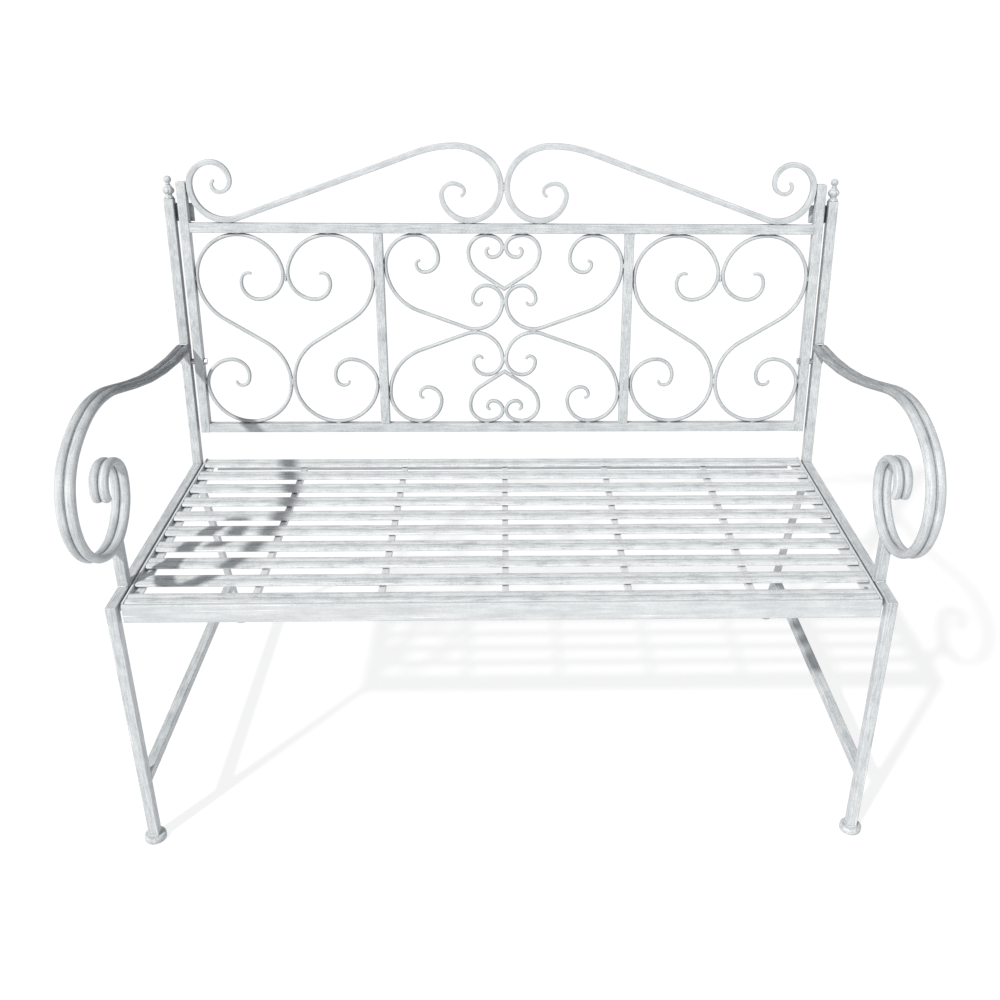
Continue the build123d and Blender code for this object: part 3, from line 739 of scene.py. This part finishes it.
half_tube = TUBE / 2
for up in (ARM_THICK / 2, -ARM_THICK / 2):
    side_weld(ARM_START[0] + 0.6, ARM_START[1] + up, AXIS_X, half_tube - 1.5)
for forward in (ARM_SUPPORT_FRONT, ARM_SUPPORT_FRONT - TUBE):
    side_weld(forward, 0.3, AXIS_X, half_tube - 1.0)
for across in (-half_tube, half_tube):
    side_weld(ARM_SUPPORT_FRONT - half_tube, 0.3, AXIS_Y, half_tube - 1.0, across=across)
splay = math.tan(REAR_LEG_SPLAY)
half_leg = REAR_TUBE / 2 / cos(REAR_LEG_SPLAY)
for forward in (REAR_LEG_TOP - half_leg, REAR_LEG_TOP + half_leg):
    side_weld(forward, -TUBE - 0.2, AXIS_X, REAR_TUBE / 2 - 0.5)
for up in (STRETCHER_TOP, STRETCHER_TOP - TUBE):
    side_weld(FRONT_LEG_FACE - TUBE, up, AXIS_X, half_tube - 1.0)
    side_weld(REAR_LEG_TOP + (up + TUBE) * splay + half_leg, up, AXIS_X, REAR_TUBE / 2 - 0.5)
foot_forward = REAR_LEG_TOP + (FOOT_TOP + TUBE) * splay
for middle, half, width in ((FRONT_LEG_FACE - half_tube, half_tube, half_tube),
                            (foot_forward, half_leg, REAR_TUBE / 2)):
    for forward in (middle - half, middle + half):
        side_weld(forward, FOOT_TOP + 0.2, AXIS_X, width - 0.5, 1.5)
    for across in (-width, width):
        side_weld(middle, FOOT_TOP + 0.2, AXIS_Y, half - 0.5, 1.5, across=across)
for sign in (-1, 1):
    for level in (-1, 1):
        for across in (MULLION_INNER, MULLION_OUTER, STILE_INNER):
            corner = panel(sign * across, level * OPENING_TOP)
            frame_welds.add(corner, OUT_PANEL, half_tube - 0.6, 1.3, AXIS_X)
    stile_joint = panel(sign * STILE_INNER, OPENING_TOP + TUBE)
    frame_welds.add(stile_joint, OUT_PANEL, half_tube - 0.6, 1.3, AXIS_X)
keep(frame_welds.piece("frame_welds"), paint_weld, "frame_paint")


# ---------------------------------------------------------------- stile caps
def stile_cap(name, across):
    """Plate welded on a stile's open top, crowned and a little uneven."""
    count, half = 13, half_tube - 0.2
    crown_height, dents, underside, least = 1.5, 0.35, -0.6, 0.15
    points, faces = [], []
    for layer in (0, 1):
        for i in range(count):
            for j in range(count):
                a, b = -1 + 2 * i / (count - 1), -1 + 2 * j / (count - 1)
                rim = max(abs(a), abs(b))
                crown = crown_height * (1 - rim**6) + dents * noise.noise(Vector((a * 2.1, b * 2.1, across)))
                lift = max(least, crown) if layer else underside
                points.append(panel(across + a * half, STILE_TOP + lift, b * half))
    for i in range(count - 1):
        for j in range(count - 1):
            near = i * count + j
            faces.append((near, near + 1, near + count + 1, near + count))
            near += count * count
            faces.append((near, near + count, near + count + 1, near + 1))
    rim = [i * count for i in range(count)] + [(count - 1) * count + j for j in range(1, count)]
    rim += [i * count + count - 1 for i in range(count - 2, -1, -1)] + list(range(count - 2, 0, -1))
    for first, second in zip(rim, rim[1:] + rim[:1]):
        faces.append((first, second, second + count * count, first + count * count))
    return finish_mesh(name, points, faces)


for side, sign in (("left", -1), ("right", 1)):
    cap = stile_cap(f"{side}_stile_cap", sign * (STILE_INNER + half_tube))
    keep(cap, paint_weld, "frame_paint")

# ---------------------------------------------------------------- floor, light and camera
floor_half = 60.0
floor_mesh = bpy.data.meshes.new("floor")
floor_mesh.from_pydata([(-floor_half, -floor_half, 0), (floor_half, -floor_half, 0),
                        (floor_half, floor_half, 0), (-floor_half, floor_half, 0)], [], [(0, 1, 2, 3)])
floor = bpy.data.objects.new("floor", floor_mesh)
bpy.context.scene.collection.objects.link(floor)
floor.data.materials.append(floor_finish())

world = bpy.data.worlds.new("studio")
world.use_nodes = True
sky = world.node_tree.nodes["Background"]
sky.inputs["Color"].default_value = (0.96, 0.98, 1.0, 1.0)
light_path = world.node_tree.nodes.new("ShaderNodeLightPath")
strength = world.node_tree.nodes.new("ShaderNodeMapRange")
strength.inputs["To Min"].default_value = 0.42      # as a soft light
strength.inputs["To Max"].default_value = 0.93      # as a pale backdrop
world.node_tree.links.new(light_path.outputs["Is Camera Ray"], strength.inputs["Value"])
world.node_tree.links.new(strength.outputs["Result"], sky.inputs["Strength"])
bpy.context.scene.world = world
bpy.context.scene.view_settings.view_transform = "Standard"

key = bpy.data.lights.new("key", "SUN")
key.energy = 3.3
key.angle = radians(2.5)
key.color = (1.0, 0.985, 0.96)
TOWARDS_SUN = Vector((-0.68, -0.90, 1.0))
key_light = bpy.data.objects.new("key", key)
key_light.rotation_euler = TOWARDS_SUN.to_track_quat("Z", "Y").to_euler()
bpy.context.scene.collection.objects.link(key_light)

YAW, PITCH, ROLL = radians(-1.824), radians(25.867), radians(0.6)
CAMERA_X, CAMERA_AHEAD, CAMERA_UP = -0.00308, 1.78785, 1.28498     # ahead of the rear posts' front
view = bpy.data.cameras.new("camera")
view.sensor_width = 36.0
view.lens = 38.27
view.shift_x, view.shift_y = -0.03358, -0.02476
camera = bpy.data.objects.new("camera", view)
camera.matrix_world = (Matrix.Translation((CAMERA_X, post_y * MM - CAMERA_AHEAD, CAMERA_UP))
                       @ Matrix.Rotation(YAW, 4, "Z") @ Matrix.Rotation(pi / 2 - PITCH, 4, "X")
                       @ Matrix.Rotation(ROLL, 4, "Z"))
bpy.context.scene.collection.objects.link(camera)
bpy.context.scene.camera = camera
